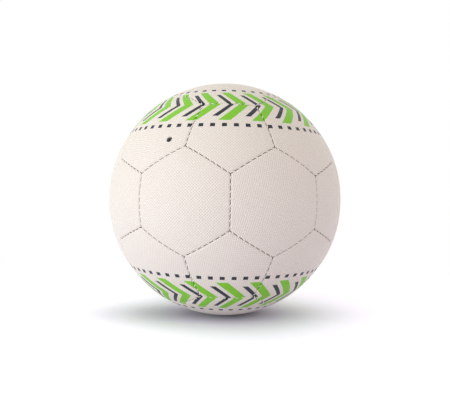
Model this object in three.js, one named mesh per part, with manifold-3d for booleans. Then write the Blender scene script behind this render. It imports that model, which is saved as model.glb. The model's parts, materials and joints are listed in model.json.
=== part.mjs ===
// A hand stitched match handball: 32 cover panels, the seam thread, the bladder and its valve.
// Millimetres, +Z up, origin at the middle of the ball, the front of the ball towards -Y.
import * as THREE from "three";
import { mergeVertices } from "three/addons/utils/BufferGeometryUtils.js";
import Module from "manifold-3d";

// The ball and its cover panels
const ballCircumference = 590;
const panelThickness = 3;
const panelCrown = 0.3;
const edgeRoll = 1.2;

// The seams: each panel's edge is turned inwards and stitched to its neighbour's
const seamGap = 0.3;
const seamAllowance = 4.5;
const flangeThickness = 1.3;
const threadDiameter = 0.6;
const threadClearance = 0.25;

// The bladder inside the cover
const bladderWall = 1.2;
const bladderClearance = 0.3;

// The valve: a flanged housing in the bladder, a core in the housing, a cloth patch behind the cover
const valveSeamDistance = 11;
const valveSeamOffset = 9.7;
const valveHoleDiameter = 4.2;
const valveClearance = 0.3;
const valveRecess = 0.8;
const valveHeadThickness = 1.2;
const valveStemDiameter = 2.6;
const valveStemLength = 11;
const needlePassageDiameter = 1;
const valveBossDiameter = 10;
const valveBossLength = 12;
const valveFlangeDiameter = 18;
const valveFlangeThickness = 1.5;
const patchDiameter = 14;
const patchThickness = 0.8;

// How finely curves are cut into flat faces
const seamSteps = 4;
const bladderDetail = 5;
const roundSides = 20;
const mergeTolerance = 1e-4;

// Radii that follow from the sizes above
const ballRadius = ballCircumference / (2 * Math.PI);
const panelEdgeRadius = ballRadius - panelCrown;
const grooveFloorRadius = panelEdgeRadius - edgeRoll;
const flangeEndRadius = grooveFloorRadius - seamAllowance;
const threadRadius = threadDiameter / 2;

// The thread lies in the V between two rolled edges, clear of both
const threadDepth = seamGap / 2 + edgeRoll - Math.SQRT2 * (threadRadius + threadClearance);
const threadLineRadius = panelEdgeRadius - threadDepth;

// The finishes
const coverWhite = new THREE.MeshStandardMaterial({ color: 0xece4da, roughness: 0.45, metalness: 0 });
const threadWhite = new THREE.MeshStandardMaterial({ color: 0xd9d4c8, roughness: 0.8, metalness: 0 });
const bladderRubber = new THREE.MeshStandardMaterial({ color: 0x2b2a2c, roughness: 0.75, metalness: 0 });
const valveRubber = new THREE.MeshStandardMaterial({ color: 0x26282c, roughness: 0.6, metalness: 0 });
const patchCloth = new THREE.MeshStandardMaterial({ color: 0xcfc8b8, roughness: 0.95, metalness: 0 });

// Each colour is its own material on each mesh
function named(name, geometry, material) {
  const mesh = new THREE.Mesh(geometry, material.clone());
  mesh.name = name;
  return mesh;
}

// Joins and cuts
const wasm = await Module();
wasm.setup();

function solidOf(geometry) {
  const bare = geometry.clone();
  bare.deleteAttribute("normal");
  bare.deleteAttribute("uv");
  const merged = mergeVertices(bare, mergeTolerance);
  const vertProperties = new Float32Array(merged.attributes.position.array);
  const triVerts = new Uint32Array(merged.index.array);
  return new wasm.Manifold(new wasm.Mesh({ numProp: 3, vertProperties, triVerts }));
}

function geometryOf(solid) {
  const made = solid.getMesh();
  const geometry = new THREE.BufferGeometry();
  geometry.setAttribute("position", new THREE.BufferAttribute(made.vertProperties, 3));
  geometry.setIndex(new THREE.BufferAttribute(made.triVerts, 1));
  geometry.computeVertexNormals();
  return geometry;
}

// The seam pattern is an icosahedron with its corners cut off: a pentagon in place of each
// corner, a hexagon on each face, and a seam corner at each third of its edges
function seamPattern() {
  const solid = new THREE.IcosahedronGeometry(1, 0).rotateX(Math.PI / 2);
  solid.deleteAttribute("normal");
  solid.deleteAttribute("uv");
  const merged = mergeVertices(solid, mergeTolerance);
  const tips = [];
  for (let i = 0; i < merged.attributes.position.count; i++) {
    tips.push(new THREE.Vector3().fromBufferAttribute(merged.attributes.position, i).normalize());
  }
  const third = (a, b) => new THREE.Vector3().lerpVectors(tips[a], tips[b], 1 / 3).normalize();
  const hexagons = [];
  const neighbours = tips.map(() => new Map());
  const index = merged.index.array;
  for (let i = 0; i < index.length; i += 3) {
    const [a, b, c] = index.slice(i, i + 3);
    hexagons.push([third(a, b), third(b, a), third(b, c), third(c, b), third(c, a), third(a, c)]);
    neighbours[a].set(b, c);
    neighbours[b].set(c, a);
    neighbours[c].set(a, b);
  }
  const pentagons = neighbours.map((next, tip) => {
    const corners = [];
    let at = next.keys().next().value;
    for (let turn = 0; turn < next.size; turn++) {
      corners.push(third(tip, at));
      at = next.get(at);
    }
    return corners;
  });
  return { hexagons, pentagons };
}

function middleOf(corners) {
  const sum = new THREE.Vector3();
  corners.forEach((corner) => sum.add(corner));
  return sum.normalize();
}

// For each seam of a panel, the unit vector square to the seam's plane that points into the panel
function seamNormals(corners) {
  return corners.map((corner, i) => {
    const next = corners[(i + 1) % corners.length];
    return new THREE.Vector3().crossVectors(corner, next).normalize();
  });
}

// A closed ring round a panel at one radius, set in from every seam's plane by the same distance
function ring(corners, inset, radius) {
  const count = corners.length;
  const normals = seamNormals(corners);
  const ends = corners.map((corner, i) => {
    const before = normals[(i + count - 1) % count];
    const after = normals[i];
    const lean = new THREE.Vector3().addVectors(before, after);
    lean.multiplyScalar(inset / (1 + before.dot(after)));
    const reach = Math.sqrt(radius ** 2 - lean.lengthSq());
    return lean.addScaledVector(corner, reach);
  });
  const points = [];
  ends.forEach((start, i) => {
    const offset = normals[i].clone().multiplyScalar(inset);
    const from = start.clone().sub(offset);
    const to = ends[(i + 1) % count].clone().sub(offset);
    const sweep = from.angleTo(to);
    for (let step = 0; step < seamSteps; step++) {
      const turned = from.clone().applyAxisAngle(normals[i], (sweep * step) / seamSteps);
      points.push(turned.add(offset));
    }
  });
  return points;
}

// A mesh in the making: points, and faces that turn anticlockwise seen from outside
function newShell() {
  return { points: [], faces: [] };
}

function addRing(shell, points) {
  const first = shell.points.length;
  shell.points.push(...points);
  return points.map((_, i) => first + i);
}

// The band from one ring of points to the next, each with as many points
function addBand(shell, from, to) {
  from.forEach((_, i) => {
    const next = (i + 1) % from.length;
    shell.faces.push([to[i], to[next], from[i]]);
    shell.faces.push([from[i], to[next], from[next]]);
  });
}

// The dome inside a ring, in triangles, from the panel's middle outwards
function addDome(shell, corners, rim, middleRadius, facesOut) {
  const sides = corners.length;
  const axis = middleOf(corners);
  const rimPoints = rim.map((i) => shell.points[i]);
  const rimRadius = rimPoints[0].length();
  let inner = addRing(shell, [axis.clone().multiplyScalar(middleRadius)]);
  for (let level = 1; level <= seamSteps; level++) {
    const share = level / seamSteps;
    const radius = middleRadius + (rimRadius - middleRadius) * share ** 2;
    const points = [];
    for (let side = 0; side < sides; side++) {
      const from = rimPoints[side * seamSteps];
      const to = rimPoints[((side + 1) % sides) * seamSteps];
      for (let step = 0; step < level; step++) {
        const along = turnedTowards(from, to, step / level);
        points.push(turnedTowards(axis, along, share).setLength(radius));
      }
    }
    const outer = level === seamSteps ? rim : addRing(shell, points);
    addDomeBand(shell, sides, level, inner, outer, facesOut);
    inner = outer;
  }
}

function addDomeBand(shell, sides, level, inner, outer, facesOut) {
  const put = (a, b, c) => shell.faces.push(facesOut ? [a, b, c] : [a, c, b]);
  for (let side = 0; side < sides; side++) {
    for (let step = 0; step < level; step++) {
      const a = outer[side * level + step];
      const b = outer[(side * level + step + 1) % outer.length];
      const c = inner[(side * (level - 1) + step) % inner.length];
      put(a, b, c);
      if (step > 0) {
        put(inner[side * (level - 1) + step - 1], a, c);
      }
    }
  }
}

function turnedTowards(from, to, share) {
  const axis = new THREE.Vector3().crossVectors(from, to).normalize();
  return from.clone().applyAxisAngle(axis, from.angleTo(to) * share);
}

function geometryFrom(shell) {
  const geometry = new THREE.BufferGeometry().setFromPoints(shell.points);
  geometry.setIndex(shell.faces.flat());
  geometry.computeVertexNormals();
  return geometry;
}

// One cover panel: a crowned skin whose edge rolls over and turns in as a flange
function panelGeometry(corners) {
  const shell = newShell();
  const side = seamGap / 2;
  const top = addRing(shell, ring(corners, side + edgeRoll, panelEdgeRadius));
  const rolled = addRing(shell, ring(corners, side, grooveFloorRadius));
  const flangeOuter = addRing(shell, ring(corners, side, flangeEndRadius));
  const flangeInner = addRing(shell, ring(corners, side + flangeThickness, flangeEndRadius));
  const back = addRing(shell, ring(corners, side + flangeThickness, panelEdgeRadius - panelThickness));
  addDome(shell, corners, top, ballRadius, true);
  addBand(shell, top, rolled);
  addBand(shell, rolled, flangeOuter);
  addBand(shell, flangeOuter, flangeInner);
  addBand(shell, flangeInner, back);
  addDome(shell, corners, back, ballRadius - panelThickness, false);
  return geometryFrom(shell);
}

// The thread of all the seams: each panel's side of it, which meets its neighbours' on the seam
function threadGeometry(panels) {
  const shell = newShell();
  const flank = threadRadius * Math.cos(Math.PI / 6);
  const halfFlat = threadRadius * Math.sin(Math.PI / 6);
  panels.forEach((corners) => {
    const rings = [
      ring(corners, 0, threadLineRadius - threadRadius),
      ring(corners, flank, threadLineRadius - halfFlat),
      ring(corners, flank, threadLineRadius + halfFlat),
      ring(corners, 0, threadLineRadius + threadRadius),
    ].map((points) => addRing(shell, points));
    for (let i = 1; i < rings.length; i++) {
      addBand(shell, rings[i - 1], rings[i]);
    }
  });
  return mergeVertices(geometryFrom(shell), mergeTolerance);
}

// A panel's own frame: +Z out through its middle, +X towards its first corner
function frameOf(corners) {
  const out = middleOf(corners);
  const across = corners[0].clone().addScaledVector(out, -out.dot(corners[0])).normalize();
  const along = new THREE.Vector3().crossVectors(out, across);
  return new THREE.Matrix4().makeBasis(across, along, out);
}

// Panels are numbered from the top of the ball down, and round it from the front
const sameLevel = 1e-3;

function fromTheTop(a, b) {
  const first = middleOf(a);
  const second = middleOf(b);
  if (Math.abs(first.z - second.z) > sameLevel) {
    return second.z - first.z;
  }
  return turnFromFront(first) - turnFromFront(second);
}

function turnFromFront(direction) {
  const turn = Math.atan2(direction.x, -direction.y);
  return turn < -sameLevel ? turn + 2 * Math.PI : turn;
}

const { hexagons, pentagons } = seamPattern();
hexagons.sort(fromTheTop);
pentagons.sort(fromTheTop);

// The valve is in the hexagon that faces front, left and up, near its foremost seam
const valveCorners = hexagons.reduce((best, corners) => {
  const facing = new THREE.Vector3(-1, -1, 1);
  return middleOf(corners).dot(facing) > middleOf(best).dot(facing) ? corners : best;
});

function valveDirection(corners) {
  const seamMiddles = corners.map((corner, i) => middleOf([corner, corners[(i + 1) % corners.length]]));
  const foremost = seamMiddles.reduce((best, middle, i) => (middle.y < seamMiddles[best].y ? i : best), 0);
  const inward = seamNormals(corners)[foremost];
  const alongSeam = new THREE.Vector3().crossVectors(inward, seamMiddles[foremost]);
  const line = inward.clone().multiplyScalar(valveSeamDistance);
  line.addScaledVector(alongSeam, valveSeamOffset);
  const reach = Math.sqrt(ballRadius ** 2 - line.lengthSq());
  return line.addScaledVector(seamMiddles[foremost], reach).normalize();
}

const valveAxis = valveDirection(valveCorners);
const valveTurn = new THREE.Quaternion().setFromUnitVectors(new THREE.Vector3(0, 0, 1), valveAxis);

// A flat face or edge dips below the round surface that its corners lie on, to this share of the radius
const seamAngle = valveCorners[0].angleTo(valveCorners[1]);
const icosahedronAngle = Math.atan(2);
const faceDip = (edgeAngle) => Math.cos(edgeAngle / Math.sqrt(3));
const edgeDip = (edgeAngle) => Math.cos(edgeAngle / 2);
const panelDip = faceDip(seamAngle / seamSteps);
const seamDip = edgeDip(seamAngle / seamSteps);
const bladderDip = faceDip(icosahedronAngle / (bladderDetail + 1));

// Radii of the valve's pieces, and their heights above the middle of the ball
const valveRadius = valveHoleDiameter / 2 - valveClearance;
const stemRadius = valveStemDiameter / 2;
const bossRadius = valveBossDiameter / 2;
const flangeRadius = valveFlangeDiameter / 2;
const patchRadius = patchDiameter / 2;
const backRadius = (panelEdgeRadius - panelThickness) * panelDip;
const bladderRadius = flangeEndRadius * seamDip - bladderClearance;
const bladderInnerRadius = bladderRadius - bladderWall;
const headTop = ballRadius - valveRecess;
const headBottom = headTop - valveHeadThickness;
const patchRim = Math.sqrt(backRadius ** 2 - patchRadius ** 2) - valveClearance;
const patchTop = Math.sqrt(backRadius ** 2 - (valveHoleDiameter / 2) ** 2) - valveClearance;
const bossTop = patchTop - patchThickness - valveClearance;
const flangeSeat = Math.sqrt((bladderInnerRadius * bladderDip) ** 2 - flangeRadius ** 2);
const flangeTop = flangeSeat - valveClearance;

// A round piece on the valve's axis, turned from an outline of [radius, height] pairs
function turnedPiece(outline, base) {
  const closed = [...outline, outline[0]];
  const points = closed.map(([radius, height]) => new THREE.Vector2(radius, height - base));
  return new THREE.LatheGeometry(points, roundSides).rotateX(Math.PI / 2);
}

function placeOnValve(mesh, base) {
  mesh.position.copy(valveAxis).multiplyScalar(base);
  mesh.quaternion.copy(valveTurn);
  return mesh;
}

// A round cutter on the valve's axis, long enough to pass right through the cover or the bladder
function valveHoleCutter(radius) {
  const length = ballRadius;
  const geometry = new THREE.CylinderGeometry(radius, radius, length, roundSides).rotateX(Math.PI / 2);
  geometry.translate(0, 0, length);
  return solidOf(geometry.applyQuaternion(valveTurn));
}

// The cover: every panel is the same pentagon or hexagon, moved and turned to its place
function coverPanel(name, geometry, corners) {
  const mesh = named(name, geometry, coverWhite);
  mesh.quaternion.setFromRotationMatrix(frameOf(corners));
  mesh.position.copy(middleOf(corners)).multiplyScalar(ballRadius);
  return mesh;
}

function panelShape(corners) {
  const intoOwnFrame = frameOf(corners).transpose();
  const geometry = panelGeometry(corners).applyMatrix4(intoOwnFrame);
  return geometry.translate(0, 0, -ballRadius);
}

function valvePanelShape() {
  const solid = solidOf(panelGeometry(valveCorners));
  const cut = geometryOf(solid.subtract(valveHoleCutter(valveHoleDiameter / 2)));
  cut.applyMatrix4(frameOf(valveCorners).transpose());
  return cut.translate(0, 0, -ballRadius);
}

function cover() {
  const group = new THREE.Group();
  const pentagonShape = panelShape(pentagons[0]);
  const hexagonShape = panelShape(hexagons[0]);
  pentagons.forEach((corners, i) => {
    group.add(coverPanel(`pentagon_panel_${twoDigits(i + 1)}`, pentagonShape, corners));
  });
  hexagons.filter((corners) => corners !== valveCorners).forEach((corners, i) => {
    group.add(coverPanel(`hexagon_panel_${twoDigits(i + 1)}`, hexagonShape, corners));
  });
  group.add(coverPanel("valve_panel", valvePanelShape(), valveCorners));
  return group;
}

function twoDigits(number) {
  return String(number).padStart(2, "0");
}

// The bladder: a thin rubber ball, open where the valve housing passes through it
function bladder() {
  const outside = solidOf(new THREE.IcosahedronGeometry(bladderRadius, bladderDetail));
  const inside = solidOf(new THREE.IcosahedronGeometry(bladderInnerRadius, bladderDetail));
  const hole = valveHoleCutter(bossRadius + valveClearance);
  return named("bladder", geometryOf(outside.subtract(inside).subtract(hole)), bladderRubber);
}

// The valve housing: a boss through the bladder, a flange under its hole and a neck up into the cover
function valveHousing() {
  const boreRadius = stemRadius + valveClearance;
  const bossEnd = bossTop - valveBossLength;
  const outline = [
    [boreRadius, bossEnd],
    [bossRadius, bossEnd],
    [bossRadius, flangeTop - valveFlangeThickness],
    [flangeRadius, flangeTop - valveFlangeThickness],
    [flangeRadius, flangeTop],
    [bossRadius, flangeTop],
    [bossRadius, bossTop],
    [valveRadius, bossTop],
    [valveRadius, headBottom - valveClearance],
    [boreRadius, headBottom - valveClearance],
  ];
  const mesh = named("valve_housing", turnedPiece(outline, bossTop), valveRubber);
  return placeOnValve(mesh, bossTop);
}

// The valve core: a flat head in the cover's hole, a stem down the housing, a passage for the needle
function valveCore() {
  const passageRadius = needlePassageDiameter / 2;
  const outline = [
    [passageRadius, headBottom - valveStemLength],
    [stemRadius, headBottom - valveStemLength],
    [stemRadius, headBottom],
    [valveRadius, headBottom],
    [valveRadius, headTop],
    [passageRadius, headTop],
  ];
  const mesh = named("valve_core", turnedPiece(outline, headTop), valveRubber);
  return placeOnValve(mesh, headTop);
}

// The cloth ring that backs the cover round its hole, dished as the panel's back is
function valvePatch() {
  const holeRadius = valveHoleDiameter / 2;
  const outline = [
    [holeRadius, patchTop - patchThickness],
    [patchRadius, patchRim - patchThickness],
    [patchRadius, patchRim],
    [holeRadius, patchTop],
  ];
  const mesh = named("valve_patch", turnedPiece(outline, patchTop), patchCloth);
  return placeOnValve(mesh, patchTop);
}

const ball = new THREE.Group();
ball.add(cover());
ball.add(named("seam_thread", threadGeometry([...pentagons, ...hexagons]), threadWhite));
ball.add(bladder());
ball.add(valveHousing());
ball.add(valveCore());
ball.add(valvePatch());

export default ball;
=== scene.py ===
# %% [markdown]
# # A stitched handball
#
# A match handball is a rubber bladder in a cover of 32 soft panels, 12 pentagons and 20 hexagons, that
# are sewn together through flanges turned in at their edges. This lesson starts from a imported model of
# the ball, which has every piece at its real size, and gives each piece its fine surface. Nothing on a
# ball moves.

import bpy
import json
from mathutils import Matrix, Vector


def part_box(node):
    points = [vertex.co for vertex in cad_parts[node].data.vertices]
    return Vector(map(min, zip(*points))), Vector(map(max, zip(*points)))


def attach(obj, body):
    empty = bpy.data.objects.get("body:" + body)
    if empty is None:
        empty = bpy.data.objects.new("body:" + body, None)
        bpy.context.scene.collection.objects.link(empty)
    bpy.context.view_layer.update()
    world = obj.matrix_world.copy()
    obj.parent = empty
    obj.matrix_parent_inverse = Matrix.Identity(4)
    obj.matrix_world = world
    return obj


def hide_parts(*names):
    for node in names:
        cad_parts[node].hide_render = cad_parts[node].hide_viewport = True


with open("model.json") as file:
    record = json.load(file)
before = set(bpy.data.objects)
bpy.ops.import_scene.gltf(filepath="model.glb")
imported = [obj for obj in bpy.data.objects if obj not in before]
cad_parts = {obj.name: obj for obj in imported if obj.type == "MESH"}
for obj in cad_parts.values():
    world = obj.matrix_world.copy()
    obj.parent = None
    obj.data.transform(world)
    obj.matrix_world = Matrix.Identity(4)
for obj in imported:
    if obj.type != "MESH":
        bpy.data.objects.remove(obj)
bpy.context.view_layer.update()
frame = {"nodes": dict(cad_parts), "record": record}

# %% [markdown]
# ## The ball's sizes
#
# A ball is measured by a tape round it, so its circumference drives everything else. The panels bulge a
# little between their seams, because the air presses them out, and their edges roll down into the seams.

# %% Sizes of the ball
import json
import math

import bpy
from mathutils import Matrix, Vector

MM = 0.001
BALL_RADIUS = 590 * MM / (2 * math.pi)
PANEL_CROWN = 0.3 * MM
PANEL_THICKNESS = 3.0 * MM
EDGE_ROLL = 1.2 * MM
SEAM_GAP = 0.14 * MM
SEAM_ALLOWANCE = 4.5 * MM
FLANGE_THICKNESS = 1.3 * MM
STITCHES_PER_SEAM = 8
SAME_PLACE = 0.01 * MM
edge_radius = BALL_RADIUS - PANEL_CROWN
groove_radius = edge_radius - EDGE_ROLL
print(f"radius {BALL_RADIUS / MM:.2f} mm, seam floor {groove_radius / MM:.2f} mm")

# %% [markdown]
# ## The camera
#
# The photographer stood level with the ball, a degree above its middle, and near enough for the front
# panels to look larger than they would from afar. The distance is fitted to the corners of the seams,
# which lie at the bottom of their grooves, and the lens to the ball's outline. The camera comes first,
# because everything is judged through it. It is turned with matrices, since a roll about the line of sight
# is one matrix there and three tangled angles otherwise.

# %% Camera
CAMERA_DISTANCE = 4.655 * BALL_RADIUS
CAMERA_AZIMUTH = math.radians(-2.19)
CAMERA_ELEVATION = math.radians(1.25)
CAMERA_ROLL = math.radians(0.85)
LENS_MM = 42.16
IMAGE_WIDTH = 450
MIDDLE_ABOVE_CENTRE = 0.75

bpy.ops.object.select_all(action="DESELECT")
bpy.ops.object.camera_add()
camera = bpy.context.object
turn = Matrix.Rotation(CAMERA_AZIMUTH, 4, "Z") @ Matrix.Rotation(math.pi / 2 - CAMERA_ELEVATION, 4, "X")
line_of_sight = turn @ Matrix.Translation((0, 0, CAMERA_DISTANCE))
camera.matrix_world = line_of_sight @ Matrix.Rotation(CAMERA_ROLL, 4, "Z")
camera.data.lens = LENS_MM
camera.data.shift_y = -MIDDLE_ABOVE_CENTRE / IMAGE_WIDTH
bpy.context.scene.camera = camera
print("camera at", [round(x, 3) for x in camera.matrix_world.translation])

# %% [markdown]
# ## The studio
#
# A product photograph like this one is taken in a white room: light from all round, and one soft box at
# the left that gives the ball its form. The background is white only where the camera looks at it
# directly, or sees it mirrored, so that the light on the ball stays at a plain level.

# %% World
AMBIENT_COLOUR = (1.0, 0.94, 0.89, 1)
AMBIENT_LEVEL = 0.81

scene = bpy.context.scene
scene.view_settings.view_transform = "Standard"
world = bpy.data.worlds.new("studio")
scene.world = world
world.use_nodes = True


def add_node(tree, kind, inputs=(), **settings):
    """A shader node with its settings, and its inputs given as numbers or as sockets to link from."""
    node = tree.nodes.new(kind)
    for name, value in settings.items():
        setattr(node, name, value)
    for key, value in dict(inputs).items():
        if isinstance(value, bpy.types.NodeSocket):
            tree.links.new(value, node.inputs[key])
        else:
            node.inputs[key].default_value = value
    return node


def calc(tree, operation, *values, clamp=False):
    """The result of one Math node."""
    node = add_node(tree, "ShaderNodeMath", enumerate(values), operation=operation, use_clamp=clamp)
    return node.outputs[0]


def mix_shaders(tree, share, first, second):
    """A Mix Shader node between the shaders of two nodes."""
    return add_node(tree, "ShaderNodeMixShader", {0: share, 1: first.outputs[0], 2: second.outputs[0]})


def seen_directly(tree):
    """1 for rays that show a surface to the camera, straight, mirrored or through glass, and 0 for light."""
    path = add_node(tree, "ShaderNodeLightPath")
    mirrored = calc(tree, "ADD", path.outputs["Is Glossy Ray"], path.outputs["Is Transmission Ray"])
    return calc(tree, "ADD", path.outputs["Is Camera Ray"], mirrored, clamp=True)


tree = world.node_tree
tree.nodes.clear()
ambient = add_node(tree, "ShaderNodeBackground", {"Color": AMBIENT_COLOUR, "Strength": AMBIENT_LEVEL})
white = add_node(tree, "ShaderNodeBackground", {"Color": (1, 1, 1, 1), "Strength": 1})
shown = mix_shaders(tree, seen_directly(tree), ambient, white)
add_node(tree, "ShaderNodeOutputWorld", {"Surface": shown.outputs[0]})
print("world: white to the camera, ambient", AMBIENT_LEVEL)

# %% [markdown]
# The floor is a white sheet. Where no shadow falls it burns out to pure white, as a lit sheet does in
# such a photograph, and the ball's soft shadow stays. A slight tint keeps that shadow a neutral grey.
# Under the ball the sheet is toned down in a wide, shallow oval, which makes the contact shadow as deep
# as the photograph's. The light from the left throws the ball's own shadow to the right, and the oval
# sits a little to the left to make up for it, as the photograph's shadow is alike on both sides. Further
# off it fades into the background. For the light that it throws up at the ball the sheet has a plain
# colour of its own.

# %% Floor
FLOOR_SIDE = 12
FLOOR_BURN = 1.45
FLOOR_TINT = (0.96, 0.985, 1.1)
SHEET = (0.86, 0.83, 0.98, 1)
SHADOW_REACH = (0.2, 0.4)
OVAL_DEPTH = 0.67
OVAL_SIZE = (0.84 * BALL_RADIUS, 0.39 * BALL_RADIUS)
OVAL_CENTRE = (-0.12 * BALL_RADIUS, -0.07 * BALL_RADIUS)


def contact_oval(tree, place):
    """1 under the ball, and falling off as a bell curve to 0 all round."""
    axes = add_node(tree, "ShaderNodeSeparateXYZ", {0: place}).outputs
    across, forward = [calc(tree, "DIVIDE", calc(tree, "SUBTRACT", axes[i], OVAL_CENTRE[i]), OVAL_SIZE[i])
                       for i in range(2)]
    squares = calc(tree, "MULTIPLY_ADD", across, across, calc(tree, "MULTIPLY", forward, forward))
    return calc(tree, "EXPONENT", calc(tree, "MULTIPLY", squares, -1))


def floor_material():
    material = bpy.data.materials.new("white_sheet")
    material.use_nodes = True
    tree = material.node_tree
    tree.nodes.clear()
    place = add_node(tree, "ShaderNodeTexCoord").outputs["Object"]
    tone = calc(tree, "MULTIPLY_ADD", contact_oval(tree, place), -OVAL_DEPTH * FLOOR_BURN, FLOOR_BURN)
    lit = add_node(tree, "ShaderNodeBsdfDiffuse", {"Color": SHEET})
    tinted = add_node(tree, "ShaderNodeVectorMath", {0: FLOOR_TINT, "Scale": tone}, operation="SCALE")
    burnt = add_node(tree, "ShaderNodeBsdfDiffuse", {"Color": tinted.outputs[0]})
    clean = add_node(tree, "ShaderNodeEmission", {"Color": (1, 1, 1, 1), "Strength": 1})
    reach = add_node(tree, "ShaderNodeVectorMath", {0: place}, operation="LENGTH").outputs["Value"]
    far = add_node(tree, "ShaderNodeMapRange", {"Value": reach, 1: SHADOW_REACH[0], 2: SHADOW_REACH[1]},
                   interpolation_type="SMOOTHSTEP")
    sheet = mix_shaders(tree, far.outputs[0], burnt, clean)
    shown = mix_shaders(tree, seen_directly(tree), lit, sheet)
    add_node(tree, "ShaderNodeOutputMaterial", {"Surface": shown.outputs[0]})
    return material


bpy.ops.mesh.primitive_plane_add(size=FLOOR_SIDE, location=(0, 0, -edge_radius))
floor = bpy.context.object
floor.name = "floor"
floor.data.materials.append(floor_material())
print("floor at", round(-edge_radius, 5))

# %% [markdown]
# One soft box stands at the left, level with the ball and a little in front of it. It makes the bright
# side and the soft fall to the dim side. A larger one would flatten the ball, and a small one would draw
# a hard edge.

# %% Lights
def soft_light(name, place, size, watts, colour):
    """A rectangular soft box at a place, facing the ball."""
    bpy.ops.object.light_add(type="AREA", location=place)
    light = bpy.context.object
    light.name = name
    light.rotation_euler = Vector(place).to_track_quat("Z", "Y").to_euler()
    light.data.shape = "RECTANGLE"
    light.data.size, light.data.size_y = size
    light.data.energy = watts
    light.data.color = colour
    return light


soft_light("left_box", (-1.5, -0.8, 0.15), (0.9, 0.7), 14.0, (0.9, 1.0, 1.0))

# %% [markdown]
# ## The pattern of seams
#
# Cut the twelve corners off an icosahedron at a third of each edge, and pentagons appear where the
# corners were, while its twenty triangles become hexagons. Blender does just that: an ico sphere of one
# subdivision is an icosahedron, and a bevel of its vertices by a third of their edges is the cut. A turn
# of half of atan(2) puts an edge on top, so that every axis of the frame passes through the middle of a
# seam.

# %% Pattern of seams
ICOSAHEDRON_TURN = -math.atan(2) / 2


def edit(piece, work, select_mode="FACE"):
    """Runs some work on one piece in edit mode."""
    bpy.ops.object.select_all(action="DESELECT")
    piece.select_set(True)
    bpy.context.view_layer.objects.active = piece
    bpy.context.tool_settings.mesh_select_mode = [select_mode == kind for kind in ("VERT", "EDGE", "FACE")]
    bpy.ops.object.mode_set(mode="EDIT")
    work()
    bpy.ops.object.mode_set(mode="OBJECT")


def cut_corners():
    bpy.ops.mesh.select_all(action="SELECT")
    bpy.ops.mesh.bevel(offset_type="PERCENT", offset_pct=100 / 3, affect="VERTICES")


bpy.ops.mesh.primitive_ico_sphere_add(subdivisions=1, radius=1, rotation=(0, ICOSAHEDRON_TURN, 0))
pattern = bpy.context.object
bpy.ops.object.transform_apply(location=False, rotation=True, scale=False)
edit(pattern, cut_corners)
corner_points = [v.co.normalized() for v in pattern.data.vertices]
sides = [len(face.vertices) for face in pattern.data.polygons]
print("pentagons", sides.count(5), "hexagons", sides.count(6), "seams", len(pattern.data.edges))

# %% [markdown]
# Each panel gets a frame of its own, with its middle straight up and its first corner along +Y. The
# angles from the middle to a corner and to the middle of a seam then say all about its shape.

# %% Frames of the panels
def frame_on_ball(out, towards):
    """A matrix with +Z along out and +Y as near to a direction as it can be."""
    z = out.normalized()
    y = (towards - z * z.dot(towards)).normalized()
    return Matrix((y.cross(z), y, z)).transposed().to_4x4()


panel_frames = {5: [], 6: []}
for face in pattern.data.polygons:
    corners = [corner_points[i] for i in face.vertices]
    middle = sum(corners, Vector()).normalized()
    panel_frames[len(corners)].append(frame_on_ball(middle, corners[0]))

seams = [[corner_points[i] for i in edge.vertices] for edge in pattern.data.edges]
seam_angle = seams[0][0].angle(seams[0][1])
bpy.data.objects.remove(pattern)
corner_angle = {n: math.asin(math.sin(seam_angle / 2) / math.sin(math.pi / n)) for n in (5, 6)}
side_angle = {n: math.atan(math.tan(corner_angle[n]) * math.cos(math.pi / n)) for n in (5, 6)}
print("seam", round(seam_angle * BALL_RADIUS / MM, 2), "mm long")
print("corner angles", {n: round(math.degrees(a), 2) for n, a in corner_angle.items()})

# %% [markdown]
# ## A panel, first as a flat blank
#
# One pentagon and one hexagon are modelled, and copies of them make the cover. The blank is a flat
# polygon whose corners lie on the ball. It is inset again and again, with narrow steps at the seam, where
# the edge will roll down, and wide ones in the middle. Then every ring is divided so that each stitch has
# eight points, enough to show how the thread pulls the edge in. A grid would be simpler, but it would not
# follow the seams.

# %% Flat blanks
RING_DISTANCES = (0.05, 0.16, 0.34, 0.6, 0.92, 1.3, 1.75, 2.3, 3.1, 4.3, 6, 8.5, 12, 16.5, 22)
POINTS_PER_STITCH = 8


def cut_rings():
    bpy.ops.mesh.select_all(action="SELECT")
    for previous, distance in zip((0,) + RING_DISTANCES, RING_DISTANCES):
        bpy.ops.mesh.inset(thickness=(distance - previous) * MM)
    bpy.ops.mesh.select_all(action="DESELECT")


def select_nothing(piece):
    for elements in (piece.data.vertices, piece.data.edges, piece.data.polygons):
        elements.foreach_set("select", [False] * len(elements))


def select_edges(piece, wanted):
    """Selects the edges of a piece whose two end points pass a test."""
    select_nothing(piece)
    points = piece.data.vertices
    for edge in piece.data.edges:
        edge.select = wanted(*(points[i].co for i in edge.vertices))


def select_faces(piece, wanted):
    """Selects the faces of a piece that pass a test."""
    select_nothing(piece)
    for face in piece.data.polygons:
        face.select = wanted(face)


def close_middle():
    """Closes the last opening with one more ring, half as wide, and a fan."""
    bpy.ops.mesh.extrude_region_move()
    bpy.ops.transform.resize(value=(0.5, 0.5, 1), center_override=(0, 0, 0))
    bpy.ops.mesh.poke()


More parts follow.
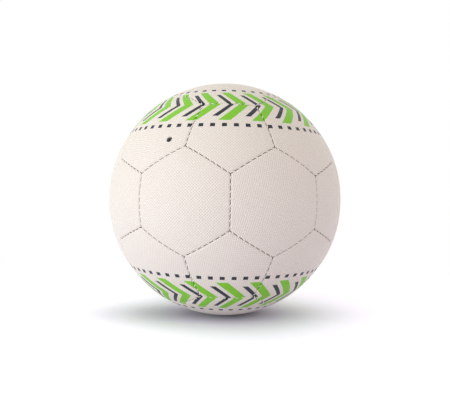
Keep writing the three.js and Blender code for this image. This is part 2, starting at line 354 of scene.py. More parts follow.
def flat_blank(n):
    height = BALL_RADIUS * math.cos(corner_angle[n])
    radius = BALL_RADIUS * math.sin(corner_angle[n]) - SEAM_GAP / 2 / math.cos(math.pi / n)
    bpy.ops.object.select_all(action="DESELECT")
    bpy.ops.mesh.primitive_circle_add(vertices=n, radius=radius, fill_type="NGON", location=(0, 0, height),
                                      calc_uvs=False)
    blank = bpy.context.object
    bpy.ops.object.transform_apply(location=True, rotation=False, scale=False)
    edit(blank, cut_rings)
    select_edges(blank, lambda a, b: abs(a.xy.length - b.xy.length) < SAME_PLACE)
    cuts = STITCHES_PER_SEAM * POINTS_PER_STITCH - 1
    edit(blank, lambda: bpy.ops.mesh.subdivide(number_cuts=cuts), "EDGE")
    select_faces(blank, lambda face: len(face.vertices) > 4)
    edit(blank, close_middle)
    return blank


blanks = {n: flat_blank(n) for n in (5, 6)}
for n, blank in blanks.items():
    print(n, "sides:", len(blank.data.polygons), "faces")

# %% [markdown]
# While the blank is flat, it is what the cutter cut from the sheet, so its own x and y are the best map
# for the sheet's embossed grain. They are stored as a UV map in millimetres before the panel takes its
# curve.

# %% Map of the cut sheet
def map_cut_sheet(blank):
    layer = blank.data.uv_layers.new(name="cut")
    for loop in blank.data.loops:
        layer.uv[loop.index].vector = blank.data.vertices[loop.vertex_index].co.xy / MM


for blank in blanks.values():
    map_cut_sheet(blank)
print("maps:", [layer.name for layer in blanks[6].data.uv_layers])

# %% [markdown]
# Two Cast modifiers give the curve. The first throws the flat polygon onto the ball from the ball's
# centre, which turns its straight sides into the great circles of the seams. The second throws it onto a
# slightly smaller sphere that touches the ball in the panel's middle, and that is the crown.

# %% Curve and crown
def apply_modifier(piece, kind, **settings):
    """Adds a modifier to a piece and applies it."""
    modifier = piece.modifiers.new(kind.lower(), kind)
    for name, value in settings.items():
        setattr(modifier, name, value)
    bpy.context.view_layer.objects.active = piece
    bpy.ops.object.modifier_apply(modifier=modifier.name)


def cast_to_sphere(piece, radius, height=0, group=""):
    """Throws a piece, or a vertex group of it, onto a sphere whose centre is at a height on the Z axis."""
    bpy.ops.object.empty_add(location=(0, 0, height))
    centre = bpy.context.object
    bpy.context.view_layer.update()
    apply_modifier(piece, "CAST", cast_type="SPHERE", factor=1, use_radius_as_size=False, size=radius,
                   object=centre, vertex_group=group)
    bpy.data.objects.remove(centre)


def crown_height(n):
    """How far above the ball's centre the crown's centre lies, for the seam's middle to dip by the crown."""
    return PANEL_CROWN / (1 - math.cos(side_angle[n]))


for n, blank in blanks.items():
    cast_to_sphere(blank, BALL_RADIUS)
    cast_to_sphere(blank, BALL_RADIUS - crown_height(n), crown_height(n))
    radii = [v.co.length / MM for v in blank.data.vertices]
    print(n, "sides: radius", round(min(radii), 2), "to", round(max(radii), 2))

# %% [markdown]
# ## Rolled edges and the pull of the thread
#
# At a seam each panel rolls down in a quarter round, and each stitch pulls a small dimple into it. Both
# are one depth for each point, worked out from its distance to the seam and its place along it, so a
# Displace modifier with that depth as vertex weights presses the panel in. Sculpting would show the same,
# but not evenly for 90 seams. The stitches cross the seam at a slant, so the dimples of the two sides
# don't face each other.

# %% Pressed edges
STITCH_SLANT = math.radians(62)
DIMPLE_DEPTH = 0.3 * MM
DIMPLE_REACH = 0.9 * MM
DIMPLE_SHARPNESS = 2
PRESS_SCALE = EDGE_ROLL + DIMPLE_DEPTH
stitch_pitch = seam_angle * BALL_RADIUS / STITCHES_PER_SEAM


def seam_place(point, n):
    """A point's distance from the nearest seam of an n-sided panel, and its angle along that seam."""
    side = math.tau / n
    turn = math.atan2(point.y, point.x) - math.pi / 2
    around = (math.floor(turn / side) + 0.5) * side + math.pi / 2
    across = point.x * math.cos(around) + point.y * math.sin(around)
    along = point.y * math.cos(around) - point.x * math.sin(around)
    tilt = side_angle[n]
    distance = point.z * math.sin(tilt) - across * math.cos(tilt)
    reach = point.z * math.cos(tilt) + across * math.sin(tilt)
    return distance, math.atan2(along, reach)


def pressed_depth(point, n):
    distance, angle = seam_place(point, n)
    inside = max(distance - SEAM_GAP / 2, 0)
    short = max(EDGE_ROLL - inside, 0)
    roll = EDGE_ROLL - math.sqrt(EDGE_ROLL**2 - short**2)
    along = (angle / seam_angle + 0.5) * STITCHES_PER_SEAM - 0.5
    stitch = along + distance / stitch_pitch * math.tan(STITCH_SLANT)
    pull = ((1 + math.cos(math.tau * stitch)) / 2) ** DIMPLE_SHARPNESS
    return roll + DIMPLE_DEPTH * pull * math.exp(-((inside / DIMPLE_REACH) ** 2))


def press_edges(blank, n):
    group = blank.vertex_groups.new(name="pressed")
    for vertex in blank.data.vertices:
        group.add([vertex.index], pressed_depth(vertex.co, n) / PRESS_SCALE, "REPLACE")
    apply_modifier(blank, "DISPLACE", strength=-PRESS_SCALE, mid_level=0, vertex_group=group.name)
    blank.vertex_groups.clear()


for n, blank in blanks.items():
    press_edges(blank, n)
    radii = [v.co.length / MM for v in blank.data.vertices]
    print(n, "sides: pressed to", round(min(radii), 2), "mm")

# %% [markdown]
# ## The flange and the back
#
# The edge turns inwards as a flange, which the thread goes through, and the panel has a back of its own.
# The rim is extruded towards the ball's centre and thrown onto the flange's end, then drawn in by the
# flange's thickness and taken up again to the back. The back is closed with rings of the same points,
# thrown onto its own sphere.

# %% Flanges and backs
FLANGE_END = groove_radius - SEAM_ALLOWANCE
BACK_RADIUS = edge_radius - PANEL_THICKNESS
BACK_RINGS = (0.72, 0.5, 0.3, 0.12)
BACK_SHARE = 0.9


def extrude_rim(*scale):
    """Extrudes the selected rim and scales it about the ball's centre."""
    bpy.ops.mesh.extrude_region_move()
    bpy.ops.transform.resize(value=scale, center_override=(0, 0, 0))


def turn_edge_in(n):
    bpy.ops.mesh.select_all(action="DESELECT")
    bpy.ops.mesh.select_non_manifold(extend=False)
    end = FLANGE_END / groove_radius
    extrude_rim(end, end, end)
    narrower = 1 - FLANGE_THICKNESS / (FLANGE_END * math.sin(side_angle[n]))
    extrude_rim(narrower, narrower, 1)


def build_back():
    bpy.ops.mesh.select_all(action="DESELECT")
    bpy.ops.mesh.select_non_manifold(extend=False)
    up = BACK_RADIUS / FLANGE_END
    extrude_rim(up, up, up)
    for previous, ring in zip((1,) + BACK_RINGS, BACK_RINGS):
        extrude_rim(ring / previous, ring / previous, 1)
    bpy.ops.mesh.extrude_region_move()
    bpy.ops.mesh.merge(type="CENTER")


def throw_points(piece, radius, wanted):
    """Throws the points of a piece that pass a test onto a sphere about the ball's centre."""
    group = piece.vertex_groups.new(name="thrown")
    group.add([v.index for v in piece.data.vertices if wanted(v.co)], 1, "REPLACE")
    cast_to_sphere(piece, radius, group=group.name)
    piece.vertex_groups.clear()


def point_faces_out():
    bpy.ops.mesh.select_all(action="SELECT")
    bpy.ops.mesh.normals_make_consistent(inside=False)
    bpy.ops.mesh.select_all(action="DESELECT")


for n, blank in blanks.items():
    edit(blank, lambda: turn_edge_in(n), "EDGE")
    throw_points(blank, FLANGE_END, lambda point: point.length < BACK_RADIUS)
    edit(blank, build_back, "EDGE")
    back_reach = BACK_RADIUS * math.sin(side_angle[n]) * BACK_SHARE
    throw_points(blank, BACK_RADIUS,
                 lambda point: point.xy.length < back_reach and point.length < groove_radius)
    edit(blank, point_faces_out)
    print(n, "sides:", len(blank.data.polygons), "faces,", len(blank.data.vertices), "points")

# %% [markdown]
# ## The cover
#
# The two panels are copied to their 32 places, each copy with a mesh of its own, and each stands for the
# packed panel whose middle lies in the same direction.

# %% Panels in place
cover_nodes = [name for name in frame["nodes"] if "panel" in name]


def middle_of_node(name):
    low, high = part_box(name)
    return ((low + high) / 2).normalized()


def place_piece(piece, name, nodes):
    """Names a finished piece, hangs it under the root and hides the nodes that it stands for."""
    piece.name = name
    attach(piece, "root")
    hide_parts(*nodes)


cover = {}
for n, frames in panel_frames.items():
    for place in frames:
        out = place.col[2].xyz
        node = max(cover_nodes, key=lambda name: middle_of_node(name).dot(out))
        panel = blanks[n].copy()
        panel.data = blanks[n].data.copy()
        scene.collection.objects.link(panel)
        panel.data.transform(place)
        place_piece(panel, "cover_" + node, [node])
        cover[node] = panel

for blank in blanks.values():
    bpy.data.objects.remove(blank)
print("panels in place:", len(cover), "of", len(cover_nodes))

# %% [markdown]
# ## The valve's hole
#
# One hexagon has the hole for the valve. A Boolean with a round cutter makes it, as the punch does. The
# cutter widens at the ball's surface, so that the hole gets the soft lip of punched foam and not a knife
# edge.

# %% Valve hole
VALVE_HOLE_RADIUS = 2.1 * MM
VALVE_LIP_WIDTH = 0.3 * MM
VALVE_LIP_DEPTH = 0.6 * MM
CUTTER_REACH = 4 * MM
ROUND_SIDES = 64
valve_axis = next(Vector(m["axis"]) for m in frame["record"]["mounts"] if m["name"] == "valve_face")
valve_place = frame_on_ball(valve_axis, Vector((0, 0, 1)))


def select_top(piece):
    """Selects the faces of a piece whose middles are highest."""
    top = max(face.center.z for face in piece.data.polygons)
    select_faces(piece, lambda face: face.center.z > top - SAME_PLACE)


def add_cylinder(radius, bottom, top):
    bpy.ops.object.select_all(action="DESELECT")
    bpy.ops.mesh.primitive_cylinder_add(vertices=ROUND_SIDES, radius=radius, depth=top - bottom,
                                        location=(0, 0, (top + bottom) / 2), calc_uvs=False)
    bpy.ops.object.transform_apply(location=True, rotation=False, scale=False)
    return bpy.context.object


def flare_top():
    """Widens the cutter upwards, by the lip's width at the surface and by twice that above it."""
    bpy.ops.mesh.extrude_region_move(TRANSFORM_OT_translate={"value": (0, 0, 2 * VALVE_LIP_DEPTH)})
    wider = 1 + 2 * VALVE_LIP_WIDTH / VALVE_HOLE_RADIUS
    bpy.ops.transform.resize(value=(wider, wider, 1), center_override=(0, 0, 0))


def join_close_points():
    bpy.ops.mesh.select_all(action="SELECT")
    bpy.ops.mesh.remove_doubles(threshold=SAME_PLACE / 10)


cutter = add_cylinder(VALVE_HOLE_RADIUS, FLANGE_END - CUTTER_REACH, BALL_RADIUS - VALVE_LIP_DEPTH)
select_top(cutter)
edit(cutter, flare_top)
cutter.data.transform(valve_place)
apply_modifier(cover["valve_panel"], "BOOLEAN", object=cutter, operation="DIFFERENCE", solver="EXACT")
edit(cover["valve_panel"], join_close_points)
bpy.data.objects.remove(cutter)
print("valve panel:", len(cover["valve_panel"].data.polygons), "faces")

# %% [markdown]
# ## Smooth shading
#
# Curved faces are shaded smooth, and the sharp turns of the flange and the valve's hole stay sharp.

# %% Shade the panels
SHARP_TURN = math.radians(50)


def shade(piece):
    bpy.ops.object.select_all(action="DESELECT")
    piece.select_set(True)
    bpy.context.view_layer.objects.active = piece
    bpy.ops.object.shade_smooth_by_angle(angle=SHARP_TURN)


for panel in cover.values():
    shade(panel)
print("shaded", len(cover), "panels")

# %% [markdown]
# ## The stitches
#
# What shows of the sewing is one short bite of waxed thread at each stitch, at a slant across the seam. A
# bite is half a torus, pressed flat as the thread is when it is pulled tight: it comes up through one
# flange, bends over and goes down through the other. One bite is made, and copied 8 times to each of the
# 90 seams, so it has few faces. Between the bites the seam stays open and dark, which makes the dashed
# line that such a ball shows.

# %% One stitch
THREAD_RADIUS = 0.42 * MM
STITCH_HALF_LENGTH = 1.55 * MM
STITCH_FLATNESS = 0.5
STITCH_TOP = edge_radius - 0.12 * MM


def halve():
    bpy.ops.mesh.select_all(action="SELECT")
    bpy.ops.mesh.bisect(plane_co=(0, 0, 0), plane_no=(0, 0, 1), use_fill=True, clear_inner=True)


def make_stitch():
    bpy.ops.object.select_all(action="DESELECT")
    bpy.ops.mesh.primitive_torus_add(major_segments=16, minor_segments=6, major_radius=STITCH_HALF_LENGTH,
                                     minor_radius=THREAD_RADIUS, rotation=(math.pi / 2, 0, 0))
    stitch = bpy.context.object
    bpy.ops.transform.resize(value=(1, 1, STITCH_FLATNESS))
    bpy.ops.object.transform_apply(location=False, rotation=True, scale=True)
    edit(stitch, halve)
    up = STITCH_TOP - (STITCH_HALF_LENGTH + THREAD_RADIUS) * STITCH_FLATNESS
    stitch.data.transform(Matrix.Translation((0, 0, up)) @ Matrix.Rotation(STITCH_SLANT, 4, "Z"))
    return stitch


stitch = make_stitch()
print("one stitch:", len(stitch.data.polygons), "faces")

# %% [markdown]
# Each seam is an arc between two corners, so the places of its stitches are shares of that arc. The
# copies are joined into one piece, because they are one thread.

# %% Stitches in the seams
def stitch_places():
    """A frame for each stitch, with +Y along its seam."""
    for start, end in seams:
        for i in range(STITCHES_PER_SEAM):
            point = start.slerp(end, (i + 0.5) / STITCHES_PER_SEAM)
            yield frame_on_ball(point, end - start)


def copy_stitches():
    copies = []
    for place in stitch_places():
        copy = stitch.copy()
        copy.data = stitch.data.copy()
        copy.data.transform(place)
        scene.collection.objects.link(copy)
        copies.append(copy)
    return copies


def join_pieces(copies):
    bpy.ops.object.select_all(action="DESELECT")
    for copy in copies:
        copy.select_set(True)
    bpy.context.view_layer.objects.active = copies[0]
    bpy.ops.object.join()
    return bpy.context.object


thread = join_pieces(copy_stitches())
bpy.data.objects.remove(stitch)
shade(thread)
place_piece(thread, "stitching", ["seam_thread"])
print("stitching:", len(thread.data.polygons), "faces")

# %% [markdown]
# ## The valve core
#
# The core is a rubber plug: a flat head in the cover's hole, a stem that the housing holds, and a passage
# that the needle opens. A cylinder is the head, and insets and extrudes of its two ends make the rim, the
# dish, the needle's passage and the stem.

# %% Valve core
VALVE_CLEARANCE = 0.3 * MM
VALVE_RECESS = 0.8 * MM
VALVE_HEAD_RADIUS = VALVE_HOLE_RADIUS - VALVE_CLEARANCE
VALVE_HEAD_TOP = BALL_RADIUS - VALVE_RECESS
VALVE_HEAD_THICKNESS = 1.2 * MM
VALVE_RIM = 0.45 * MM
VALVE_DISH = 0.25 * MM
STEM_RADIUS = 1.3 * MM
STEM_LENGTH = 11 * MM
PASSAGE_RADIUS = 0.5 * MM
PASSAGE_DEPTH = 9 * MM
PASSAGE_LIP = 0.15 * MM
VALVE_ROUNDING = 0.12 * MM
STEM_END = STEM_RADIUS / 2
STEM_TAPER = 0.6


def sink(depth):
    """Extrudes the selected faces downwards."""
    bpy.ops.mesh.extrude_region_move(TRANSFORM_OT_translate={"value": (0, 0, -depth)})


def shape_head():
    bpy.ops.mesh.inset(thickness=VALVE_RIM)
    bpy.ops.transform.translate(value=(0, 0, -VALVE_DISH))
    bpy.ops.mesh.inset(thickness=VALVE_HEAD_RADIUS - VALVE_RIM - PASSAGE_RADIUS - PASSAGE_LIP)
    bpy.ops.mesh.inset(thickness=PASSAGE_LIP)
    sink(PASSAGE_DEPTH)


def pull_stem():
    bpy.ops.mesh.inset(thickness=VALVE_HEAD_RADIUS - STEM_RADIUS)
    sink(STEM_LENGTH - STEM_END)
    sink(STEM_END)
    bpy.ops.transform.resize(value=(STEM_TAPER, STEM_TAPER, 1), center_override=(0, 0, 0))


def make_valve_core():
    core = add_cylinder(VALVE_HEAD_RADIUS, VALVE_HEAD_TOP - VALVE_HEAD_THICKNESS, VALVE_HEAD_TOP)
    select_top(core)
    edit(core, shape_head)
    select_faces(core, lambda face: face.normal.z < -0.9 and face.area > math.pi * STEM_RADIUS**2)
    edit(core, pull_stem)
    apply_modifier(core, "BEVEL", width=VALVE_ROUNDING, segments=3, limit_method="ANGLE",
                   angle_limit=SHARP_TURN)
    core.data.transform(valve_place)
    shade(core)
    return core


valve_core = make_valve_core()
place_piece(valve_core, "valve_plug", ["valve_core"])
print("valve core:", len(valve_core.data.polygons), "faces")

# %% [markdown]
# ## Finishes
#
# Every finish is procedural, so it holds at any distance and on any side. Colours are written as the
# screen shows them and turned into the light values that shaders use.

# %% Colours
def colour(red, green, blue):
    """A shader colour from screen values of 0 to 255."""
    shares = (red / 255, green / 255, blue / 255)
    light = [s / 12.92 if s < 0.04045 else ((s + 0.055) / 1.055) ** 2.4 for s in shares]
    return (*light, 1)


def darker(base, share):
    """A colour with a share of another's light."""
    return (*(c * share for c in base[:3]), 1)


WHITE_SKIN = colour(242, 235, 226)
LIME_INK = colour(126, 206, 22)
NAVY_INK = colour(4, 24, 44)
# The dark colour of the seams' depths: partly dust, partly painted shade of the groove.
SEAM_DUST_AND_SHADE = colour(84, 74, 68)
LINING = colour(206, 198, 184)
THREAD = colour(242, 237, 228)
VALVE_RUBBER = colour(34, 33, 36)
BUTYL = colour(44, 43, 45)
RUBBER_BLOOM = colour(128, 126, 122)
print("white skin", [round(c, 3) for c in WHITE_SKIN])

# %% [markdown]
# The skin is embossed with a fine diamond grain for grip. Two cosines across each other give its
# pyramids, and a little noise keeps them from looking machined. The grain's height feeds a bump, since
# one diamond is 1.4 mm wide. Effects that several finishes share are node groups with named inputs and
# outputs.

# %% Node group for the diamond grain
GRAIN_WANDER = 0.9
WANDERS_PER_MM = 0.45


def new_group(name, inputs, outputs):
    """An empty shader group. Inputs are (name, kind, value) and outputs are (name, kind)."""
    group = bpy.data.node_groups.new(name, "ShaderNodeTree")
    for label, kind, value in inputs:
        socket = group.interface.new_socket(label, in_out="INPUT", socket_type="NodeSocket" + kind)
        socket.default_value = value
    for label, kind in outputs:
        group.interface.new_socket(label, in_out="OUTPUT", socket_type="NodeSocket" + kind)
    return group, add_node(group, "NodeGroupInput").outputs, add_node(group, "NodeGroupOutput")


def finish_group(group, output, results):
    for label, socket in results.items():
        group.links.new(socket, output.inputs[label])
    return group


def use_group(tree, group, inputs):
    """Places a group in a tree and gives its outputs."""
    return add_node(tree, "ShaderNodeGroup", inputs, node_tree=group).outputs


def noise(tree, place, scale, detail=2, roughness=0.5):
    """Noise of 0 to 1 at a place."""
    inputs = {"Vector": place, "Scale": scale, "Detail": detail, "Roughness": roughness}
    return add_node(tree, "ShaderNodeTexNoise", inputs).outputs[0]


def make_diamond_grain():
    inputs = [("Place", "Vector", (0, 0, 0)), ("Pitch", "Float", 1)]
    group, given, output = new_group("diamond_grain", inputs, [("Height", "Float")])
    axes = add_node(group, "ShaderNodeSeparateXYZ", {0: given["Place"]}).outputs
    wander = calc(group, "MULTIPLY", noise(group, given["Place"], WANDERS_PER_MM), GRAIN_WANDER)
    wave = calc(group, "DIVIDE", math.tau / math.sqrt(2), given["Pitch"])
    rising = calc(group, "ADD", calc(group, "ADD", axes[0], axes[1]), wander)
    falling = calc(group, "SUBTRACT", calc(group, "SUBTRACT", axes[0], axes[1]), wander)
    ridges = [calc(group, "COSINE", calc(group, "MULTIPLY", across, wave)) for across in (rising, falling)]
    height = calc(group, "MULTIPLY_ADD", calc(group, "ADD", *ridges), 0.25, 0.5)
    return finish_group(group, output, {"Height": height})


diamond_grain = make_diamond_grain()
print("group:", diamond_grain.name)

# %% [markdown]
# Foam, rubber and cloth are never quite even, so one group gives each its own slow unevenness. Another
# tells how deep a point lies below the cover's surface: deep in the seams the colour is painted darker,
# partly as dust that settles there and partly as painted shade of the groove, and past them the cloth
# lining shows.

# %% Node groups for unevenness and depth
FINE_PARTS = 9
# From here down into the seam the colour darkens: partly dust, partly painted shade of the groove.
DUST_AND_SHADE_STARTS = edge_radius - 0.6 * MM
DUST_AND_SHADE_FULL = edge_radius - 1.0 * MM
LINING_STARTS = groove_radius - 0.2 * MM
LINING_FULL = groove_radius - 0.6 * MM


def fade(tree, value, start, end):
    """0 where a value is at its start, 1 at its end, and smooth between."""
    inputs = {"Value": value, "From Min": start, "From Max": end}
    return add_node(tree, "ShaderNodeMapRange", inputs, interpolation_type="SMOOTHSTEP").outputs[0]


def make_unevenness():
    inputs = [("Place", "Vector", (0, 0, 0)), ("Size", "Float", 0.01)]
    group, given, output = new_group("unevenness", inputs, [("Height", "Float"), ("Fine", "Float")])
    scale = calc(group, "DIVIDE", 1, given["Size"])
    fine_scale = calc(group, "MULTIPLY", scale, FINE_PARTS)
    broad = noise(group, given["Place"], scale, 3)
    fine = noise(group, given["Place"], fine_scale, 4, 0.6)
    return finish_group(group, output, {"Height": broad, "Fine": fine})


def make_cover_depth():
    outputs = [("Dust and shade", "Float"), ("Lining", "Float")]
    group, given, output = new_group("cover_depth", [("Place", "Vector", (0, 0, 0))], outputs)
    radius = add_node(group, "ShaderNodeVectorMath", {0: given["Place"]}, operation="LENGTH").outputs["Value"]
    dust_and_shade = fade(group, radius, DUST_AND_SHADE_FULL, DUST_AND_SHADE_STARTS)
    lining = fade(group, radius, LINING_FULL, LINING_STARTS)
    results = {"Dust and shade": calc(group, "SUBTRACT", 1, dust_and_shade), "Lining": calc(group, "SUBTRACT", 1, lining)}
    return finish_group(group, output, results)


unevenness = make_unevenness()
cover_depth = make_cover_depth()
print("groups:", unevenness.name, cover_depth.name)

# %% [markdown]
# ## The print
#
# The print is a plain one of the builder's own: rows of bars round the ball above and below its middle,
# in lime and navy. One group draws a row. It takes the distance across the row and the turn round the
# ball, repeats the turn as often as the row has bars, and bends each bar into a chevron.

# %% Node group for a printed row
INK_EDGE = 0.2
BAR_EDGE = 0.01


def make_printed_row():
    names = ("Across", "Around", "Count", "Length", "Share", "Chevron", "Shift")
    inputs = [(name, "Float", 0) for name in names]
    group, given, output = new_group("printed_row", inputs, [("Mask", "Float")])
    away = calc(group, "ABSOLUTE", given["Across"])
    bent = calc(group, "MULTIPLY_ADD", away, given["Chevron"], given["Shift"])
    cell = calc(group, "FRACT", calc(group, "MULTIPLY_ADD", given["Around"], given["Count"], bent))
    beside = calc(group, "ABSOLUTE", calc(group, "SUBTRACT", cell, 0.5))
    half_share = calc(group, "MULTIPLY", given["Share"], 0.5)
    half_length = calc(group, "MULTIPLY", given["Length"], 0.5)
    bar = fade(group, calc(group, "SUBTRACT", beside, half_share), BAR_EDGE, -BAR_EDGE)
    row = fade(group, calc(group, "SUBTRACT", away, half_length), INK_EDGE, -INK_EDGE)
    return finish_group(group, output, {"Mask": calc(group, "MULTIPLY", bar, row)})


printed_row = make_printed_row()
print("group:", printed_row.name)

# %% [markdown]
# Each row of the print is one line of sizes: its latitude in degrees, how many bars it has, how long they
# are in millimetres, and the share of the row that is inked. The same rows are drawn above and below the
# middle, so the latitude is taken without its sign.

# %% Rows of the print
LIME_ROWS = (
    {"Latitude": 47, "Count": 20, "Length": 34, "Share": 0.36, "Chevron": 0.04, "Shift": 0},
)
NAVY_ROWS = (
    {"Latitude": 47, "Count": 20, "Length": 26, "Share": 0.18, "Chevron": 0.04, "Shift": 0.44},
    {"Latitude": 34, "Count": 60, "Length": 3, "Share": 0.42, "Chevron": 0, "Shift": 0},
    {"Latitude": 60, "Count": 40, "Length": 3, "Share": 0.42, "Chevron": 0, "Shift": 0},
)
RAGGED_EDGE = 0.5
RAGS_PER_METRE = 900


def draw_rows(tree, away, around, rows):
    """Where an ink is printed, when away is the way from the ball's middle line in mm."""
    masks = []
    for row in rows:
        middle = math.radians(row["Latitude"]) * BALL_RADIUS / MM
        inputs = {"Across": calc(tree, "SUBTRACT", away, middle), "Around": around}
        inputs |= {name: value for name, value in row.items() if name != "Latitude"}
        masks.append(use_group(tree, printed_row, inputs)["Mask"])
    ink = masks[0]
    for mask in masks[1:]:
        ink = calc(tree, "MAXIMUM", ink, mask)
    return ink


def print_inks(tree, place):
    """The places of the lime and the navy ink on the ball."""
    radius = add_node(tree, "ShaderNodeVectorMath", {0: place}, operation="LENGTH").outputs["Value"]
    axes = add_node(tree, "ShaderNodeSeparateXYZ", {0: place}).outputs
    latitude = calc(tree, "ARCSINE", calc(tree, "DIVIDE", axes[2], radius))
    ragged = calc(tree, "MULTIPLY_ADD", noise(tree, place, RAGS_PER_METRE), RAGGED_EDGE, -RAGGED_EDGE / 2)
    away = calc(tree, "MULTIPLY_ADD", calc(tree, "ABSOLUTE", latitude), BALL_RADIUS / MM, ragged)
    front = calc(tree, "MULTIPLY", axes[1], -1)
    around = calc(tree, "DIVIDE", calc(tree, "ARCTAN2", axes[0], front), math.tau)
    return [draw_rows(tree, away, around, rows) for rows in (LIME_ROWS, NAVY_ROWS)]


print("rows of print in each half:", len(LIME_ROWS) + len(NAVY_ROWS))

# %% [markdown]
# ## The cover's skin
#
# The skin is a satin polyurethane film. The ink lies on it as a thin smooth film that is a little worn in
# the pits of the grain, and the pits are painted a little darker, as painted shade. All heights are in
# millimetres, and one Bump node turns them into shading.

# %% Material of the cover
GRAIN_PITCH = 1.4
GRAIN_HEIGHT = 0.24
PIT_SHADE = 0.78
FOAM_SIZE = 0.012
FOAM_HEIGHT = 0.25
FOAM_TONE = 0.97
PORE_HEIGHT = 0.03
PORE_ROUGHNESS = 0.1
SKIN_ROUGHNESS = 0.42
SKIN_GLOSS = 0.25
WORN_BELOW = 0.3
INK_WEAR = 0.25
INK_SMOOTHS = 0.06
# How strongly the seams' depths are darkened: partly dust, partly painted shade.
DUST_AND_SHADE_SHARE = 0.9
DUST_ROUGHENS = 0.3


def new_material(name, roughness, gloss=0.5):
    """A material with an empty Principled shader, and its tree and shader."""
    material = bpy.data.materials.new(name)
    material.use_nodes = True
    tree = material.node_tree
    shader = tree.nodes["Principled BSDF"]
    shader.inputs["Roughness"].default_value = roughness
    shader.inputs["Specular IOR Level"].default_value = gloss
    return material, tree, shader


def mix_colour(tree, share, first, second):
    return add_node(tree, "ShaderNodeMix", {0: share, 6: first, 7: second}, data_type="RGBA").outputs[2]


def add_bump(tree, shader, height):
    """Shades a height in millimetres."""
    bump = add_node(tree, "ShaderNodeBump", {"Height": height, "Distance": MM, "Strength": 1})
    tree.links.new(bump.outputs[0], shader.inputs["Normal"])


def sum_of(tree, *terms):
    """The sum of some (socket, factor) pairs."""
    total = 0
    for socket, factor in terms:
        total = calc(tree, "MULTIPLY_ADD", socket, factor, total)
    return total


def make_skin():
    material, tree, shader = new_material("embossed_skin", SKIN_ROUGHNESS, SKIN_GLOSS)
    place = add_node(tree, "ShaderNodeTexCoord").outputs["Object"]
    sheet = add_node(tree, "ShaderNodeUVMap", uv_map="cut").outputs[0]
    grain = use_group(tree, diamond_grain, {"Place": sheet, "Pitch": GRAIN_PITCH})["Height"]
    foam = use_group(tree, unevenness, {"Place": place, "Size": FOAM_SIZE})
    depth = use_group(tree, cover_depth, {"Place": place})
    inks = print_inks(tree, place)
    kept = calc(tree, "MULTIPLY_ADD", fade(tree, grain, 0, WORN_BELOW), INK_WEAR, 1 - INK_WEAR)
    toned = mix_colour(tree, foam["Height"], WHITE_SKIN, darker(WHITE_SKIN, FOAM_TONE))
    # The pits of the grain are painted darker, as painted shade.
    base = mix_colour(tree, fade(tree, grain, 0.5, 0), toned, darker(WHITE_SKIN, PIT_SHADE))
    for ink, mask in zip((LIME_INK, NAVY_INK), inks):
        base = mix_colour(tree, calc(tree, "MULTIPLY", mask, kept), base, ink)
    # The seams' depths are darkened: partly dust, partly painted shade of the groove.
    base = mix_colour(tree, calc(tree, "MULTIPLY", depth["Dust and shade"], DUST_AND_SHADE_SHARE), base, SEAM_DUST_AND_SHADE)
    base = mix_colour(tree, depth["Lining"], base, LINING)
    tree.links.new(base, shader.inputs["Base Color"])
    printed = calc(tree, "MAXIMUM", *inks)
    changes = ((foam["Fine"], PORE_ROUGHNESS), (printed, -INK_SMOOTHS), (depth["Dust and shade"], DUST_ROUGHENS))
    rough = calc(tree, "ADD", sum_of(tree, *changes), SKIN_ROUGHNESS - PORE_ROUGHNESS / 2)
    tree.links.new(rough, shader.inputs["Roughness"])
    height = sum_of(tree, (grain, GRAIN_HEIGHT), (foam["Height"], FOAM_HEIGHT), (foam["Fine"], PORE_HEIGHT))
    add_bump(tree, shader, height)
    return material


skin = make_skin()
for panel in cover.values():
    panel.data.materials.append(skin)
print("skin on", len(cover), "panels")

# %% [markdown]
# ## Thread
#
# The thread is twisted from strands, and its UV map runs round and along it, so slanted waves on the map
# are the twist. Drawing the strands as geometry would cost thousands of faces in each of the 720 bites.

# %% Material of the thread
STRANDS = 3
TURNS_ROUND_TORUS = 10
STRAND_HEIGHT = 0.04
THREAD_DUST_AND_SHADE_SHARE = 0.7


def make_thread():
    material, tree, shader = new_material("waxed_thread", 0.6)
    place = add_node(tree, "ShaderNodeTexCoord").outputs["Object"]
    wound = add_node(tree, "ShaderNodeUVMap", uv_map=thread.data.uv_layers[0].name).outputs[0]
    axes = add_node(tree, "ShaderNodeSeparateXYZ", {0: wound}).outputs
    along = calc(tree, "MULTIPLY", axes[0], TURNS_ROUND_TORUS)
    turns = calc(tree, "MULTIPLY_ADD", axes[1], STRANDS, along)
    strands = calc(tree, "SINE", calc(tree, "MULTIPLY", turns, math.tau))
    depth = use_group(tree, cover_depth, {"Place": place})
    # Deep in the seam the thread is darkened: partly dust, partly painted shade of the groove.
    worn = mix_colour(tree, calc(tree, "MULTIPLY", depth["Dust and shade"], THREAD_DUST_AND_SHADE_SHARE), THREAD, SEAM_DUST_AND_SHADE)
    tree.links.new(worn, shader.inputs["Base Color"])
    add_bump(tree, shader, calc(tree, "MULTIPLY", strands, STRAND_HEIGHT))
    return material


thread.data.materials.append(make_thread())
print("thread:", thread.data.materials[0].name)
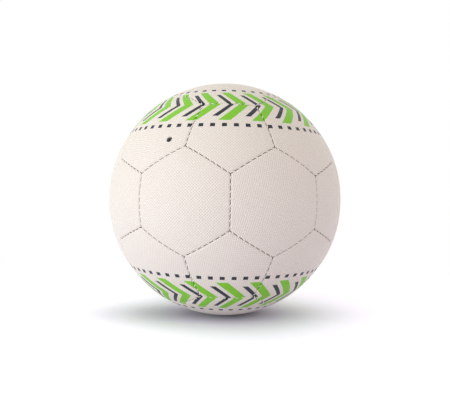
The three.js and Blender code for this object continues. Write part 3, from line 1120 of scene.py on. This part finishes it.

# %% [markdown]
# ## Rubber and cloth
#
# Rubber is dull, with a faint bloom that comes out of it with age. The patch behind the valve is a plain
# woven cloth, and two sine waves across each other are its threads. Where they dip, the cloth is painted
# darker, as painted shade between the threads.

# %% Materials of rubber and cloth
BLOOM_SHARE = 0.25
RUBBER_PORE_HEIGHT = 0.05
RUBBER_UNEVENNESS = 0.2
WEAVE_PITCH = 0.9 * MM
WEAVE_SHADE = 0.6
WEAVE_HEIGHT = 0.08


def make_rubber(name, base, grain_size, roughness):
    material, tree, shader = new_material(name, roughness)
    place = add_node(tree, "ShaderNodeTexCoord").outputs["Object"]
    uneven = use_group(tree, unevenness, {"Place": place, "Size": grain_size})
    bloom = calc(tree, "MULTIPLY", fade(tree, uneven["Fine"], 0.45, 0.8), BLOOM_SHARE)
    tree.links.new(mix_colour(tree, bloom, base, RUBBER_BLOOM), shader.inputs["Base Color"])
    least = roughness - RUBBER_UNEVENNESS / 2
    rough = calc(tree, "MULTIPLY_ADD", uneven["Fine"], RUBBER_UNEVENNESS, least)
    tree.links.new(rough, shader.inputs["Roughness"])
    add_bump(tree, shader, calc(tree, "MULTIPLY", uneven["Fine"], RUBBER_PORE_HEIGHT))
    return material


def make_patch_cloth():
    material, tree, shader = new_material("patch_weave", 0.9)
    place = add_node(tree, "ShaderNodeTexCoord").outputs["Object"]
    turns = {0: place, "Scale": math.tau / WEAVE_PITCH}
    threads = add_node(tree, "ShaderNodeVectorMath", turns, operation="SCALE")
    axes = add_node(tree, "ShaderNodeSeparateXYZ", {0: threads.outputs[0]}).outputs
    weave = calc(tree, "MULTIPLY", calc(tree, "SINE", axes[0]), calc(tree, "SINE", axes[2]))
    # Painted shade: the weave's low places are darker.
    cloth = mix_colour(tree, fade(tree, weave, -1, 1), darker(LINING, WEAVE_SHADE), LINING)
    tree.links.new(cloth, shader.inputs["Base Color"])
    add_bump(tree, shader, calc(tree, "MULTIPLY", weave, WEAVE_HEIGHT))
    return material


def dress_node(name, material):
    """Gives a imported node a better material."""
    node = frame["nodes"][name]
    node.data.materials.clear()
    node.data.materials.append(material)


valve_rubber = make_rubber("valve_rubber_black", VALVE_RUBBER, 0.004, 0.5)
valve_core.data.materials.append(valve_rubber)
dress_node("valve_housing", valve_rubber)
dress_node("bladder", make_rubber("butyl_with_talc", BUTYL, 0.03, 0.7))
dress_node("valve_patch", make_patch_cloth())
print("dressed the valve, the bladder and the patch")
